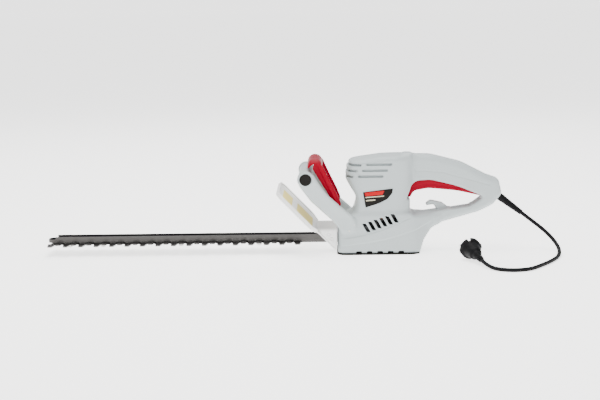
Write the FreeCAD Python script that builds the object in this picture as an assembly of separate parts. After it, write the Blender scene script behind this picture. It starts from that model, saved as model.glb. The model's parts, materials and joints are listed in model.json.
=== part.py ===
"""Corded electric hedge trimmer, made of its separate pieces.

Millimetres, +Z up. The cutter bar points to -X and the rear handle to +X, so the left
side of the machine, as its user sees it, is at -Y. The origin lies in the flat underside
that the machine stands on, near the middle of its gear case.
"""
import FreeCAD, Part
import math
import os

V = FreeCAD.Vector

# ------------------------------------------------------------------ driving sizes
# cutter bar
bar_length = 575.0             # origin to the tip of the guide rail
tooth_pitch = 27.0
first_tooth_x = -136.0
blade_thickness = 1.8
blade_layer_gap = 0.3          # between the two blades, and between blade and rail
lower_blade_z = 17.5
spine_half_width = 11.0
lower_tooth_reach = 34.0       # from the bar's middle to a tooth's tip
upper_tooth_reach = 30.5
tooth_root_half = 7.0
tooth_tip_half = 3.6
rail_half_width = 12.0
rail_wall = 2.0
rail_height = 10.0
rail_rear_x = -64.5
bolt_pitch = 69.0
first_bolt_x = -135.0
tip_bolt_inset = 36.5
bolt_radius = 2.5
bush_radius = 4.2
slide_clearance = 0.25

# gear train: one reduction with two cams a half turn apart
gear_module = 0.75
pinion_teeth = 12
gear_teeth = 80
pressure_angle = math.radians(25.0)
backlash = 0.12
gear_thickness = 6.0
cam_radius = 11.0
cam_throw = 4.0                # half of each blade's stroke
axle_radius = 4.0
bush_wall = 1.5
running_clearance = 0.05
yoke_clearance = 0.5
yoke_rim = 7.0

# motor, standing upright
motor_x = 6.0
stator_radius = 31.0
stator_bore = 17.5
stack_bottom_z = 66.0
stack_height = 36.0
rotor_radius = 16.8
shaft_radius = 4.0
shaft_tip_radius = 2.5
shaft_top_radius = 3.0
commutator_radius = 11.0
fan_radius = 29.0
fan_bottom_z = 47.0
fan_height = 10.5
seat_clearance = 0.15

# housing
wall = 2.5
motor_side_room = 6.5          # between the stator and the inside of the head
skirt_half_width = 44.0
grip_half_width = 18.0
base_front_x = -68.0
base_rear_x = 77.0
base_thickness = 2.5
handle_rear_x = 220.0
head_top_z = 170.0
loop_front_x = 60.0            # front wall of the hand opening
vent_height = 3.6
boss_radius = 4.5
screw_radius = 1.5
screw_head_radius = 3.2

# rear trigger
trigger_half_width = 13.0
trigger_clearance = 0.6
trigger_pivot = (187.0, 102.5)
pivot_pin_radius = 2.5

# front handle and its switch bar
bar_grip_x = -120.0
bar_grip_z = 136.0
bar_grip_radius = 12.5
bar_grip_wall = 2.7
handle_half_span = 75.0
arm_boss_radius = 14.0
end_cap_radius = 10.1
lever_pivot = (-68.0, 84.0)
lever_top = (-104.0, 156.0)
lever_bar_radius = 13.0
lever_wall = 2.5
lever_leg_gap = 0.5            # between a leg and the arm beside it

# hand guard
guard_angle = math.radians(46.0)
guard_half_width = 72.0
guard_thickness = 3.0
guard_length = 142.0
guard_foot = (-69.3, 11.4)     # low end of the sloping plate

# cord and plug
cord_radius = 3.25
relief_base = (215.5, 94.0)
relief_angle = math.radians(-37.3)
relief_length = 50.0
relief_inner_length = 12.0
plug_disc_radius = 18.0
plug_length = 57.0
pin_radius = 2.4
pin_length = 19.0
pin_spacing = 19.0

# ------------------------------------------------------------------ worked-out sizes
head_half_width = stator_radius + motor_side_room + wall
upper_blade_z = lower_blade_z + blade_thickness + blade_layer_gap
rail_z = upper_blade_z + blade_thickness + blade_layer_gap
centre_distance = gear_module * (pinion_teeth + gear_teeth) / 2
gear_x = motor_x - centre_distance
gear_z = rail_z + 2.5
gear_tip_radius = gear_module * (gear_teeth / 2 + 1)
gear_case_z = gear_z + gear_thickness + 2.8
gear_case_thickness = 3.5
gear_case_top = gear_case_z + gear_case_thickness
cover_z = lower_blade_z - 5.5
cover_thickness = 2.0
bush_outer = axle_radius + bush_wall
stack_top_z = stack_bottom_z + stack_height
tooth_count = int((bar_length + first_tooth_x - 6.0) / tooth_pitch) + 1
carrier_z = stack_top_z + 6.0
cap_depth = 3.0
leg_inner_y = 38.5
leg_thickness = 5.0
arm_inner_y = leg_inner_y + leg_thickness + lever_leg_gap

# side view of the housing: (x, z, corner radius), counter-clockwise
HEAD_SIDE = [
    (-40.0, 40.0, 0.0), (62.0, 40.0, 0.0), (62.0, head_top_z, 4.0), (10.0, head_top_z - 1.5, 60.0),
    (-47.5, head_top_z - 9.0, 14.0), (-53.5, 132.0, 12.0), (-30.5, 97.0, 28.0), (-40.0, 68.0, 4.0),
]
SKIRT_SIDE = [
    (base_front_x, base_thickness, 2.0), (base_rear_x, base_thickness, 2.0), (83.5, 22.0, 24.0),
    (102.0, 47.5, 16.0), (112.0, 50.0, 0.0), (112.0, 62.0, 4.0), (62.0, 72.0, 6.0),
    (-40.0, 71.0, 10.0), (base_front_x, 47.0, 8.0),
]
LOOP_SIDE = [
    (52.0, 46.0, 0.0), (101.5, 46.9, 30.0), (180.0, 68.5, 60.0), (204.0, 80.5, 20.0),
    (handle_rear_x, 99.0, 12.0), (214.0, 125.0, 9.0), (192.0, 133.0, 30.0), (149.0, 155.5, 80.0),
    (95.0, head_top_z - 0.5, 60.0), (52.0, head_top_z, 0.0),
]
OPENING_SIDE = [
    (loop_front_x, 64.5, 10.0), (168.0, 80.5, 25.0), (188.0, 95.0, 4.0), (142.0, 114.5, 150.0),
    (96.0, 126.0, 50.0), (loop_front_x - 5.0, 124.0, 16.0), (loop_front_x - 5.5, 96.0, 1.0),
    (loop_front_x, 94.0, 2.0),
]
TRIGGER_SIDE = [
    (loop_front_x - 4.5, 96.5, 2.0), (61.0, 95.0, 1.5), (67.0, 106.0, 12.0), (92.0, 110.5, 50.0),
    (142.0, 105.5, 150.0), (184.0, 97.8, 6.0), (193.0, 98.5, 3.5), (193.0, 106.0, 3.5),
    (183.0, 108.0, 6.0), (142.0, 118.0, 60.0), (96.0, 129.5, 40.0), (loop_front_x - 4.5, 128.0, 14.0),
]
TRIGGER_SLOT = [
    (loop_front_x - 5.1, 95.0, 0.0), (loop_front_x + 8.0, 95.0, 0.0), (92.0, 108.0, 0.0),
    (186.0, 94.5, 0.0), (197.0, 96.0, 2.0), (197.0, 112.0, 2.0), (142.0, 122.0, 0.0),
    (96.0, 142.0, 0.0), (loop_front_x - 5.1, 142.0, 0.0),
]
BADGE_SIDE = [
    (-17.5, 82.5, 1.0), (5.0, 89.5, 20.0), (20.0, 97.0, 14.0), (28.0, 107.0, 6.0),
    (29.5, 115.0, 1.0), (-22.0, 109.0, 1.0),
]
HOOK_SIDE = [
    (112.0, 68.0, 1.0), (134.0, 71.0, 2.0), (116.0, 84.5, 6.0), (96.0, 89.0, 7.0),
    (87.5, 83.0, 2.5), (90.0, 79.0, 1.5), (102.0, 81.0, 4.0), (106.0, 74.0, 4.0),
]


def mirrored(half):
    """Closes a plan outline given for y < 0 by its mirror image at y > 0."""
    return half + [(x, -y, r) for x, y, r in reversed(half)]


HEAD_PLAN = mirrored([
    (-56.0, -head_half_width, head_half_width - 3.0), (42.0, -head_half_width, 40.0),
    (80.0, -grip_half_width, 20.0), (90.0, -grip_half_width, 0.0),
])
SKIRT_PLAN = mirrored([
    (base_front_x, -skirt_half_width, 16.0), (68.0, -skirt_half_width, 26.0),
    (98.0, -grip_half_width, 12.0), (112.0, -grip_half_width, 0.0),
])
BASE_PLAN = mirrored([
    (base_front_x + 0.8, 0.8 - skirt_half_width, 15.0), (67.0, 0.8 - skirt_half_width, 20.0),
    (base_rear_x - 0.8, -32.0, 8.0),
])
GEAR_CASE_PLAN = mirrored([
    (base_front_x + wall + 2.0, 3.3 - skirt_half_width + wall, 14.0),
    (40.0, 3.3 - skirt_half_width + wall, 12.0),
])
case_screw_y = skirt_half_width - wall - 10.0
case_screws = [(x, side * case_screw_y) for x in (-50.0, 30.0) for side in (-1, 1)]
housing_bosses = [(-38.0, 149.4), (50.0, 152.0), (52.0, 51.0), (88.0, 44.0), (206.0, 117.0),
                  (140.0, 65.5), (-57.0, 44.0)]


# ------------------------------------------------------------------ shape helpers
def moved_corners(points, inset):
    """Moves every side of a counter-clockwise outline inwards by inset."""
    moved = []
    for i, (a, b, radius) in enumerate(points):
        before = points[i - 1]
        after = points[(i + 1) % len(points)]
        d1 = V(a - before[0], b - before[1], 0).normalize()
        d2 = V(after[0] - a, after[1] - b, 0).normalize()
        n1 = V(-d1.y, d1.x, 0)
        n2 = V(-d2.y, d2.x, 0)
        shift = (n1 + n2) * (inset / (1 + n1.dot(n2)))
        convex = d1.cross(d2).z > 0
        new_radius = radius - inset if convex else radius + inset
        moved.append((a + shift.x, b + shift.y, max(new_radius, 0.0) if radius else 0.0))
    return moved


def corner_wire(points, place, inset=0.0):
    """Closed wire of straight sides with tangent arcs at its corners."""
    points = moved_corners(points, inset) if inset else points
    corners = [V(a, b, 0) for a, b, _ in points]
    ends = []
    for i, corner in enumerate(corners):
        before = corners[i - 1] - corner
        after = corners[(i + 1) % len(corners)] - corner
        reach = 0.0
        half_turn = (math.pi - before.getAngle(after)) / 2
        if points[i][2] > 0 and half_turn > 1e-3:
            reach = points[i][2] * math.tan(half_turn)
            reach = min(reach, 0.49 * before.Length, 0.49 * after.Length)
        first = corner + V(before).normalize() * reach
        last = corner + V(after).normalize() * reach
        middle = corner
        if reach > 0:
            radius = reach / math.tan(half_turn)
            inward = (V(before).normalize() + V(after).normalize()).normalize()
            middle = corner + inward * (radius / math.cos(half_turn) - radius)
        ends.append((first, middle, last, reach > 0))
    edges = []
    for i, (first, middle, last, rounded) in enumerate(ends):
        if rounded:
            edges.append(Part.Arc(place(first), place(middle), place(last)).toShape())
        following = ends[(i + 1) % len(ends)][0]
        if (following - last).Length > 1e-6:
            edges.append(Part.LineSegment(place(last), place(following)).toShape())
    return Part.Wire(edges)


def slab(points, y0, y1, inset=0.0):
    """A side-view outline (x, z, r) stretched from y0 to y1."""
    wire = corner_wire(points, lambda p: V(p.x, y0, p.y), inset)
    return Part.Face(wire).extrude(V(0, y1 - y0, 0))


def plate(points, z0, z1, inset=0.0):
    """A plan outline (x, y, r) stretched from z0 to z1."""
    wire = corner_wire(points, lambda p: V(p.x, p.y, z0), inset)
    return Part.Face(wire).extrude(V(0, 0, z1 - z0))


def box(x0, x1, y0, y1, z0, z1):
    return Part.makeBox(x1 - x0, y1 - y0, z1 - z0, V(x0, y0, z0))


def rod(radius, start, end):
    axis = end - start
    return Part.makeCylinder(radius, axis.Length, start, axis)


def disc(radius, x, y, z0, z1):
    return rod(radius, V(x, y, z0), V(x, y, z1))


def ring(outer, inner, x, y, z0, z1):
    return disc(outer, x, y, z0, z1).cut(disc(inner, x, y, z0 - 1, z1 + 1))


def cross_rod(radius, x, z, y0, y1):
    return rod(radius, V(x, y0, z), V(x, y1, z))


def fused(shapes):
    whole = shapes[0]
    if len(shapes) > 1:
        whole = whole.multiFuse(shapes[1:])
    return whole.removeSplitter()


def both_sides(make):
    """The piece made by make(side) at y < 0 and again at y > 0."""
    return [make(-1), make(1)]


def export(name, shapes):
    """Writes one node's solids to its STEP file."""
    shapes = shapes if isinstance(shapes, list) else [shapes]
    solids = [solid for shape in shapes for solid in shape.Solids]
    for solid in solids:
        if not solid.isValid() or solid.Volume <= 0:
            raise ValueError(name + " has a bad solid")
    shape = solids[0] if len(solids) == 1 else Part.makeCompound(solids)
    shape.exportStep("parts/" + name + ".step")
    print(name, len(solids), round(sum(solid.Volume for solid in solids)))


# ------------------------------------------------------------------ cutter bar
def bolt_places():
    """X positions of the bolts that hold the blades under the rail."""
    places = []
    x = first_bolt_x
    while x > 60.0 - bar_length:
        places.append(x)
        x -= bolt_pitch
    return places + [tip_bolt_inset - bar_length]


def blade(z, reach, phase, tip_gap):
    """A toothed blade with its drive yoke, its teeth set phase pitches behind the first."""
    half_x = cam_radius + 2 * cam_throw + yoke_clearance + yoke_rim
    half_y = cam_radius + cam_throw + yoke_clearance + yoke_rim
    side = [(gear_x + half_x, half_y, 8.0), (gear_x - half_x, half_y, 8.0),
            (gear_x - half_x - 8.0, spine_half_width, 6.0)]
    for i in range(tooth_count - (1 if phase else 0)):
        x = first_tooth_x - tooth_pitch * (i + phase)
        side += [(x + tooth_root_half, spine_half_width, 2.0), (x + tooth_tip_half, reach, 2.4),
                 (x - tooth_tip_half, reach, 2.4), (x - tooth_root_half, spine_half_width, 2.0)]
    side.append((tip_gap - bar_length, spine_half_width, 6.0))
    outline = side + [(x, -y, r) for x, y, r in reversed(side)]
    shape = plate(outline, z, z + blade_thickness)
    open_x = half_x - yoke_rim
    open_y = half_y - yoke_rim
    yoke = [(gear_x - open_x, -open_y, 6.0), (gear_x + open_x, -open_y, 6.0),
            (gear_x + open_x, open_y, 6.0), (gear_x - open_x, open_y, 6.0)]
    cutters = [plate(yoke, z - 1, z + blade_thickness + 1)]
    slot_y = bush_radius + slide_clearance
    slot_x = slot_y + cam_throw + slide_clearance
    for x in bolt_places():
        slot = [(x - slot_x, -slot_y, slot_y), (x + slot_x, -slot_y, slot_y),
                (x + slot_x, slot_y, slot_y), (x - slot_x, slot_y, slot_y)]
        cutters.append(plate(slot, z - 1, z + blade_thickness + 1))
    return shape.cut(Part.makeCompound(cutters))


def guide_rail():
    """Channel, open upwards, that carries the blades under its web."""
    web = plate([(-bar_length, -rail_half_width, 10.0), (rail_rear_x, -rail_half_width, 0.0),
                 (rail_rear_x, rail_half_width, 0.0), (-bar_length, rail_half_width, 10.0)],
                rail_z, rail_z + rail_height)
    hollow_front = rail_wall - bar_length
    hollow = plate([(hollow_front, rail_wall - rail_half_width, 8.0),
                    (rail_rear_x + 1, rail_wall - rail_half_width, 0.0),
                    (rail_rear_x + 1, rail_half_width - rail_wall, 0.0),
                    (hollow_front, rail_half_width - rail_wall, 8.0)],
                   rail_z + rail_wall, rail_z + rail_height + 1)
    nose = box(-bar_length - 1, 14.0 - bar_length, -20, 20, rail_z + 5.5, rail_z + rail_height + 1)
    holes = [disc(bolt_radius, x, 0, rail_z - 1, rail_z + rail_wall + 1) for x in bolt_places()]
    holes += [disc(2.0, x, 0, rail_z - 1, rail_z + rail_wall + 1) for x in tongue_screws]
    return web.cut(Part.makeCompound([hollow, nose] + holes))


tongue_screws = [-73.0, -87.0]
tongue_front_x = -94.0
washer_top_z = lower_blade_z - blade_layer_gap
washer_thickness = 1.2
nut_height = 3.6
bolt_head_height = 3.2


def hexagon(x, y, across, z0, z1):
    radius = across / math.sqrt(3)
    corners = [V(x + radius * math.cos(math.pi * k / 3), y + radius * math.sin(math.pi * k / 3), z0)
               for k in range(6)]
    return Part.Face(Part.makePolygon(corners + corners[:1])).extrude(V(0, 0, z1 - z0))


def rail_bolt(x):
    head_z = rail_z + rail_wall
    shank = disc(bolt_radius, x, 0, washer_top_z - washer_thickness - nut_height - 1.0, head_z)
    head = disc(4.6, x, 0, head_z, head_z + bolt_head_height)
    head = head.makeFillet(1.2, [e for e in head.Edges if e.CenterOfMass.z > head_z + bolt_head_height - 0.1])
    socket = hexagon(x, 0, 3.0, head_z + 1.2, head_z + bolt_head_height + 1)
    return fused([shank, head]).cut(socket)


def rail_nut(x):
    top = washer_top_z - washer_thickness
    return hexagon(x, 0, 8.0, top - nut_height, top).cut(disc(bolt_radius, x, 0, 0, top + 1))


def make_cutter_bar():
    export("lower_blade", blade(lower_blade_z, lower_tooth_reach, 0, 5.0))
    export("upper_blade", blade(upper_blade_z, upper_tooth_reach, 0.5, 8.0))
    export("guide_rail", guide_rail())
    export("rail_bolts", [rail_bolt(x) for x in bolt_places()])
    export("rail_nuts", [rail_nut(x) for x in bolt_places()])
    export("rail_washers", [ring(7.5, bolt_radius, x, 0, washer_top_z - washer_thickness, washer_top_z)
                            for x in bolt_places()])
    export("rail_bushes", [ring(bush_radius, bolt_radius, x, 0, washer_top_z, rail_z)
                           for x in bolt_places()])
    head_z = rail_z + rail_wall + 5.8
    export("tongue_screws", [fused([disc(2.0, x, 0, rail_z + 0.2, head_z), disc(3.8, x, 0, head_z, head_z + 2.4)])
                             for x in tongue_screws])


# ------------------------------------------------------------------ gear train
def involute_gear(teeth, phase, z0, z1, x):
    """Spur gear with a tooth centred on the angle phase."""
    pitch_radius = gear_module * teeth / 2
    base_radius = pitch_radius * math.cos(pressure_angle)
    tip_radius = pitch_radius + gear_module
    root_radius = pitch_radius - 1.25 * gear_module
    half_thickness = (math.pi * gear_module / 2 - backlash / 2) / (2 * pitch_radius)

    def flank_angle(radius):
        tilt = math.acos(base_radius / radius)
        involute = math.tan(tilt) - tilt
        return half_thickness + math.tan(pressure_angle) - pressure_angle - involute

    def spot(radius, angle):
        return V(x + radius * math.cos(angle), radius * math.sin(angle), z0)

    start = max(base_radius, root_radius) + 0.001
    middle = (start + tip_radius) / 2
    edges = []
    for i in range(teeth):
        centre = phase + 2 * math.pi * i / teeth
        low, mid, tip = flank_angle(start), flank_angle(middle), flank_angle(tip_radius)
        root = spot(root_radius, centre - low)
        a, b, c = spot(start, centre - low), spot(middle, centre - mid), spot(tip_radius, centre - tip)
        d, e, f = spot(tip_radius, centre + tip), spot(middle, centre + mid), spot(start, centre + low)
        far_root = spot(root_radius, centre + low)
        edges += [Part.LineSegment(root, a).toShape(), Part.Arc(a, b, c).toShape(),
                  Part.LineSegment(c, d).toShape(), Part.Arc(d, e, f).toShape(),
                  Part.LineSegment(f, far_root).toShape()]
        following = spot(root_radius, centre + 2 * math.pi / teeth - low)
        edges.append(Part.LineSegment(far_root, following).toShape())
    return Part.Face(Part.Wire(edges)).extrude(V(0, 0, z1 - z0))


def make_gear_train():
    gear_top = gear_z + gear_thickness
    hub_top = gear_case_z - 0.3
    cam_split_z = lower_blade_z + blade_thickness + blade_layer_gap / 2
    cam_bottom_z = lower_blade_z - 0.2
    gear = involute_gear(gear_teeth, math.pi / gear_teeth, gear_z, gear_top, gear_x)
    lightening = [disc(5.5, gear_x + 19.5 * math.cos(k * math.pi / 3), 19.5 * math.sin(k * math.pi / 3),
                       gear_z - 1, gear_top + 1) for k in range(6)]
    gear = fused([gear, disc(9.0, gear_x, 0, gear_top - 1, hub_top)])
    gear = gear.cut(Part.makeCompound(lightening + [disc(bush_outer, gear_x, 0, 0, 90)]))
    export("drive_gear", gear)
    export("drive_cams", [ring_off_centre(-cam_throw, cam_bottom_z, cam_split_z),
                          ring_off_centre(cam_throw, cam_split_z, gear_z)])
    export("gear_bush", ring(bush_outer, axle_radius + running_clearance, gear_x, 0, cam_bottom_z, hub_top))
    pinion = involute_gear(pinion_teeth, math.pi, gear_z - 0.8, gear_top + 1.6, motor_x)
    export("motor_pinion", pinion.cut(disc(shaft_tip_radius, motor_x, 0, 0, 90)))
    export("gear_axle", disc(axle_radius, gear_x, 0, cover_z - 1.0, gear_case_top + 1.4))
    export("axle_washers", [
        ring(7.0, axle_radius, gear_x, 0, gear_case_top, gear_case_top + 1.0),
        ring(8.0, axle_radius, gear_x, 0, cover_z + cover_thickness, cam_bottom_z - 0.3)])


def ring_off_centre(offset, z0, z1):
    return disc(cam_radius, gear_x, offset, z0, z1).cut(disc(bush_outer, gear_x, 0, z0 - 1, z1 + 1))


bearing_bottom_z = gear_case_top + 0.5
bearing_width = 7.0
bearing_radius = 11.0


def make_gear_case():
    ring_outer = gear_tip_radius + 4.0
    case = [plate(GEAR_CASE_PLAN, gear_case_z, gear_case_top),
            disc(ring_outer, gear_x, 0, rail_z + 0.1, gear_case_z + 0.5),
            disc(bearing_radius + 3.5, motor_x, 0, gear_case_z, bearing_bottom_z + bearing_width)]
    case += [disc(boss_radius, x, y, cover_z + cover_thickness, gear_case_z + 1) for x, y in case_screws]
    tongue_half = rail_half_width - rail_wall - 0.3
    tongue = box(tongue_front_x, gear_x - ring_outer + 6.0, -tongue_half, tongue_half,
                 rail_z + rail_wall, rail_z + rail_wall + 5.8)
    cutters = [disc(gear_tip_radius + 0.9, gear_x, 0, 0, gear_case_z),
               disc(7.2, motor_x, 0, 0, gear_case_z + 0.5), disc(6.8, motor_x, 0, 0, 90),
               disc(bearing_radius, motor_x, 0, bearing_bottom_z, 90),
               disc(axle_radius, gear_x, 0, 0, 90)]
    cutters += [disc(2.05, x, y, 0, rail_z + 8.0) for x, y in case_screws]
    cutters += [disc(2.0, x, 0, 0, 90) for x in tongue_screws]
    export("gear_case", fused(case + [tongue]).cut(Part.makeCompound(cutters)))
    cover = plate(GEAR_CASE_PLAN, cover_z, cover_z + cover_thickness)
    holes = [disc(2.2, x, y, 0, 90) for x, y in case_screws] + [disc(axle_radius, gear_x, 0, 0, 90)]
    export("gear_cover", cover.cut(Part.makeCompound(holes)))
    head_top = 3.2
    screws = [fused([disc(2.0, x, y, head_top, rail_z + 7.0), disc(4.0, x, y, 0.8, head_top)])
              for x, y in case_screws]
    screws += [fused([disc(1.5, x, y, 1.7, 18.0), disc(3.3, x, y, 0.4, 1.8)]) for x, y in rear_base_screws]
    export("base_screws", screws)
    base = plate(BASE_PLAN, 0, base_thickness)
    base = fused([base] + [disc(6.0, x, y, 0, cover_z) for x, y in case_screws]
                 + [box(base_front_x + 12 + 22.0 * k, base_front_x + 14 + 22.0 * k, -26, 26, 1.0, 7.0)
                    for k in range(6)])
    holes = [disc(2.2, x, y, -1, 90) for x, y in case_screws]
    holes += [disc(4.2, x, y, -1, head_top) for x, y in case_screws]
    holes += [disc(1.8, x, y, -1, 90) for x, y in rear_base_screws]
    holes += [disc(3.6, x, y, -1, 1.8) for x, y in rear_base_screws]
    export("base_plate", base.cut(Part.makeCompound(holes)))


rear_base_screws = [(62.0, side * 26.0) for side in (-1, 1)]


# ------------------------------------------------------------------ motor
def bearing_pieces(bore, outer, z0, z1):
    """Outer race, inner race and balls of a deep-groove ball bearing."""
    step = (outer - bore) * 0.34
    middle = (outer + bore) / 2
    outer_race = ring(outer, outer - step, motor_x, 0, z0, z1)
    inner_race = ring(bore + step, bore, motor_x, 0, z0, z1)
    ball = (outer - bore) / 2 - step - 0.12
    balls = [Part.makeSphere(ball, V(motor_x + middle * math.cos(2 * math.pi * k / 7),
                                     middle * math.sin(2 * math.pi * k / 7), (z0 + z1) / 2))
             for k in range(7)]
    return outer_race, inner_race, balls


upper_bearing_z = carrier_z + 21.5
upper_bearing_radius = 9.5
cushion_radius = 12.0
commutator_z = carrier_z + 1.0


def make_motor():
    stator = ring(stator_radius, stator_bore, motor_x, 0, stack_bottom_z, stack_top_z)
    gap = box(motor_x - 10, motor_x + 10, -26, 26, stack_bottom_z - 1, stack_top_z + 1)
    pockets = ring(24.6, stator_bore, motor_x, 0, stack_bottom_z - 1, stack_top_z + 1)
    export("stator_core", stator.cut(pockets.common(gap)))
    export("field_coils", [field_coil(side) for side in (-1, 1)])
    export("rotor_core", rotor_core())
    export("rotor_windings", [ring(14.0, shaft_radius, motor_x, 0, stack_bottom_z - 4, stack_bottom_z),
                              ring(14.0, shaft_radius, motor_x, 0, stack_top_z, stack_top_z + 4)])
    export("commutator", ring(commutator_radius, shaft_radius, motor_x, 0, commutator_z, commutator_z + 13))
    shaft = fused([disc(shaft_tip_radius, motor_x, 0, gear_z - 1.6, gear_case_top - 1.0),
                   disc(shaft_radius, motor_x, 0, gear_case_top - 1.0, upper_bearing_z - 1.5),
                   disc(shaft_top_radius, motor_x, 0, upper_bearing_z - 1.5, upper_bearing_z + 7.0)])
    export("rotor_shaft", shaft)
    export("cooling_fan", fan())
    low = bearing_pieces(shaft_radius, bearing_radius, bearing_bottom_z, bearing_bottom_z + bearing_width)
    high = bearing_pieces(shaft_top_radius, upper_bearing_radius, upper_bearing_z, upper_bearing_z + 6)
    export("bearing_outer_races", [low[0], high[0]])
    export("bearing_inner_races", [low[1], high[1]])
    export("bearing_balls", low[2] + high[2])
    export("bearing_cushion", ring(cushion_radius, upper_bearing_radius, motor_x, 0,
                                   upper_bearing_z - 0.2, upper_bearing_z + 6.2))
    export("air_baffle", ring(stator_radius + 3.0, 24.0, motor_x, 0, fan_bottom_z + fan_height + 0.8, stack_bottom_z - 6.2))
    make_brush_gear()


def field_coil(side):
    """One field coil: its two ends above and below the stack, joined by its two legs."""
    bundle = ring(24.2, stator_bore + 1.0, motor_x, 0, stack_bottom_z - 5.5, stack_top_z + 5.0)
    window = box(motor_x - 9.6, motor_x + 9.6, 2.0, 30.0, stack_bottom_z - 8, stack_top_z + 8)
    coil = bundle.common(window)
    coil = coil.cut(box(motor_x - 4.5, motor_x + 4.5, 0, 30.0, stack_bottom_z + 4, stack_top_z - 4))
    if side < 0:
        coil = coil.mirror(V(motor_x, 0, 0), V(0, 1, 0))
    return coil


def rotor_core():
    core = ring(rotor_radius, shaft_radius, motor_x, 0, stack_bottom_z, stack_top_z)
    slots = []
    for k in range(12):
        slot = box(rotor_radius - 5.0, rotor_radius + 1, -0.9, 0.9, stack_bottom_z - 1, stack_top_z + 1)
        slot.rotate(V(0, 0, 0), V(0, 0, 1), 30.0 * k)
        slot.translate(V(motor_x, 0, 0))
        slots.append(slot)
    return core.cut(Part.makeCompound(slots))


def fan():
    top = fan_bottom_z + fan_height
    pieces = [disc(8.0, motor_x, 0, fan_bottom_z, top), disc(fan_radius, motor_x, 0, fan_bottom_z, fan_bottom_z + 1.5)]
    for k in range(11):
        vane = box(6.0, fan_radius - 0.5, -0.8, 0.8, fan_bottom_z, top - 1.0)
        vane.rotate(V(0, 0, 0), V(0, 0, 1), 360.0 * k / 11)
        vane.translate(V(motor_x, 0, 0))
        pieces.append(vane)
    return fused(pieces).cut(disc(shaft_radius, motor_x, 0, fan_bottom_z - 1, top + 1))


def make_brush_gear():
    carrier_top = carrier_z + 2.5
    holder_out = stator_radius - 2.0
    brush_in = commutator_radius + 0.3
    brush_z = carrier_top + 1.6

    def holder(side):
        case = box(motor_x - 4.6, motor_x + 4.6, brush_in + 1.7, holder_out, carrier_top, carrier_top + 10.5)
        hole = box(motor_x - 2.6, motor_x + 2.6, brush_in, holder_out - 1.5, brush_z - 0.1, brush_z + 7.1)
        case = case.cut(hole)
        return case if side > 0 else case.mirror(V(0, 0, 0), V(0, 1, 0))

    def brush(side):
        bar = box(motor_x - 2.5, motor_x + 2.5, brush_in, holder_out - 6.0, brush_z, brush_z + 7.0)
        return bar if side > 0 else bar.mirror(V(0, 0, 0), V(0, 1, 0))

    export("brush_carrier", ring(stator_radius + 2.0, commutator_radius + 1.6, motor_x, 0, carrier_z, carrier_top))
    export("brush_holders", both_sides(holder))
    export("carbon_brushes", both_sides(brush))


# ------------------------------------------------------------------ housing
def outer_body():
    head = slab(HEAD_SIDE, -60, 60).common(plate(HEAD_PLAN, 0, 200))
    skirt = slab(SKIRT_SIDE, -60, 60).common(plate(SKIRT_PLAN, 0, 200))
    loop = slab(LOOP_SIDE, -grip_half_width, grip_half_width)
    hook = slab(HOOK_SIDE, -hook_half_width, hook_half_width)
    body = fused([head, skirt, loop]).cut(slab(OPENING_SIDE, -60, 60))
    return fused([body, hook])


hook_half_width = 4.0


def cavity():
    head = slab(HEAD_SIDE, -60, 60, wall).common(plate(HEAD_PLAN, 0, 200, wall))
    side = moved_corners(SKIRT_SIDE, wall)
    side = [(x, -5.0 if z < 10 else z, r if z > 10 else 0.0) for x, z, r in side]
    skirt = slab(side, -60, 60).common(plate(SKIRT_PLAN, -10, 200, wall))
    loop = slab(LOOP_SIDE, wall - grip_half_width, grip_half_width - wall, wall)
    passages = [box(30, 76, wall - grip_half_width, grip_half_width - wall, 130, head_top_z - wall - 3),
                box(-36, 58, -26, 26, 42, 78), box(70, 110, wall - grip_half_width, grip_half_width - wall, 52, 57)]
    hollow = fused([head, skirt, loop] + passages)
    return hollow.cut(slab(OPENING_SIDE, -60, 60, -wall))


def vents():
    """Cooling slots: three rows round the head, six slanted ones a side, notches below."""
    cutters = []
    for row in range(3):
        z = head_top_z - 15.5 - 10.2 * row
        cutters.append(box(-16.0 - 7 * row, 28.0 - 7.5 * row, -60, 60, z, z + vent_height))
        cutters.append(box(-60.0, -24.0 - 7 * row, -60, 60, z - 1, z - 1 + vent_height))
    for k in range(6):
        x = -16.6 + 9.7 * k
        z = 47.3 + 3.24 * k
        slot = [(x + 1.2, z - 6.6, 0.6), (x + 6.2, z - 6.0, 0.6), (x - 1.2, z + 6.6, 0.6), (x - 6.2, z + 6.0, 0.6)]
        cutters.append(slab(slot, -60, 60))
    for k in range(5):
        x = -29.5 + 18.2 * k
        cutters.append(box(x - 4.75, x + 4.75, -60, 60, base_thickness - 1, base_thickness + 3.6))
    return Part.makeCompound(cutters)


def ribs(hollow):
    """Seats inside the housing for the motor, the brush carrier and the upper bearing."""
    seats = []
    for z0, z1, bore in [(stack_bottom_z - 6.0, stack_bottom_z - 4.0, stator_radius + seat_clearance),
                         (stack_bottom_z + 2, stack_bottom_z + 5, stator_radius + seat_clearance),
                         (stack_top_z - 6, stack_top_z - 3, stator_radius + seat_clearance),
                         (carrier_z - 2.6, carrier_z - 0.1, stator_radius + seat_clearance),
                         (upper_bearing_z - 1.0, upper_bearing_z + 7, cushion_radius + seat_clearance)]:
        seats.append(ring(46.0, bore, motor_x, 0, z0, z1).common(hollow))
    ledge = plate(SKIRT_PLAN, gear_case_top + 0.2, gear_case_top + 2.4, wall)
    ledge = ledge.cut(plate(GEAR_CASE_PLAN, 0, 90, 4.0)).common(box(-70, 42, -60, 60, 0, 60))
    seats.append(ledge.common(hollow))
    return seats


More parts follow.
